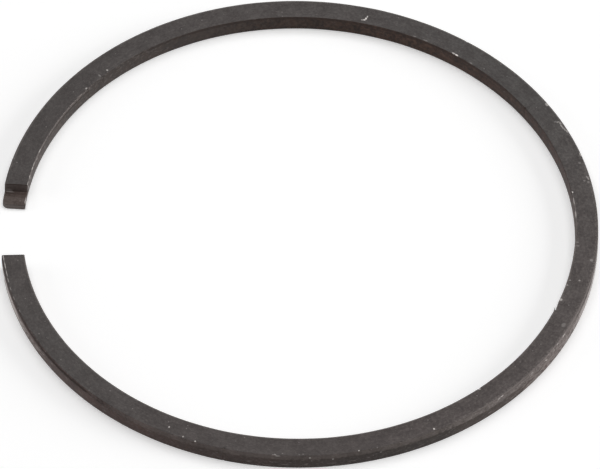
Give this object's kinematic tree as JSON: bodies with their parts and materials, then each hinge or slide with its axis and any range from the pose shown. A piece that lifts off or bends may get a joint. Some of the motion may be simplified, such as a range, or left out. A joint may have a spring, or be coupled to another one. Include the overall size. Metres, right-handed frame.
{
  "type": "piston ring",
  "caption": "Split compression ring for a piston, sprung open, with a rectangular section and a step-cut joint at the gap",
  "frame": {"origin": "middle of the ring's box in plan, on the plane of its lower side face", "axes": "+Z is the axis of the ring, upwards from the lower side face; the gap is towards -X, with the lower tongue on its +Y side"},
  "size_m": [0.0832, 0.0846, 0.0025],
  "materials": {
    "phosphated_iron": "black phosphated, dull, with light wear on the edges"
  },
  "bodies": {
    "root": {"piston_ring": "phosphated_iron"}
  },
  "joints": []
}
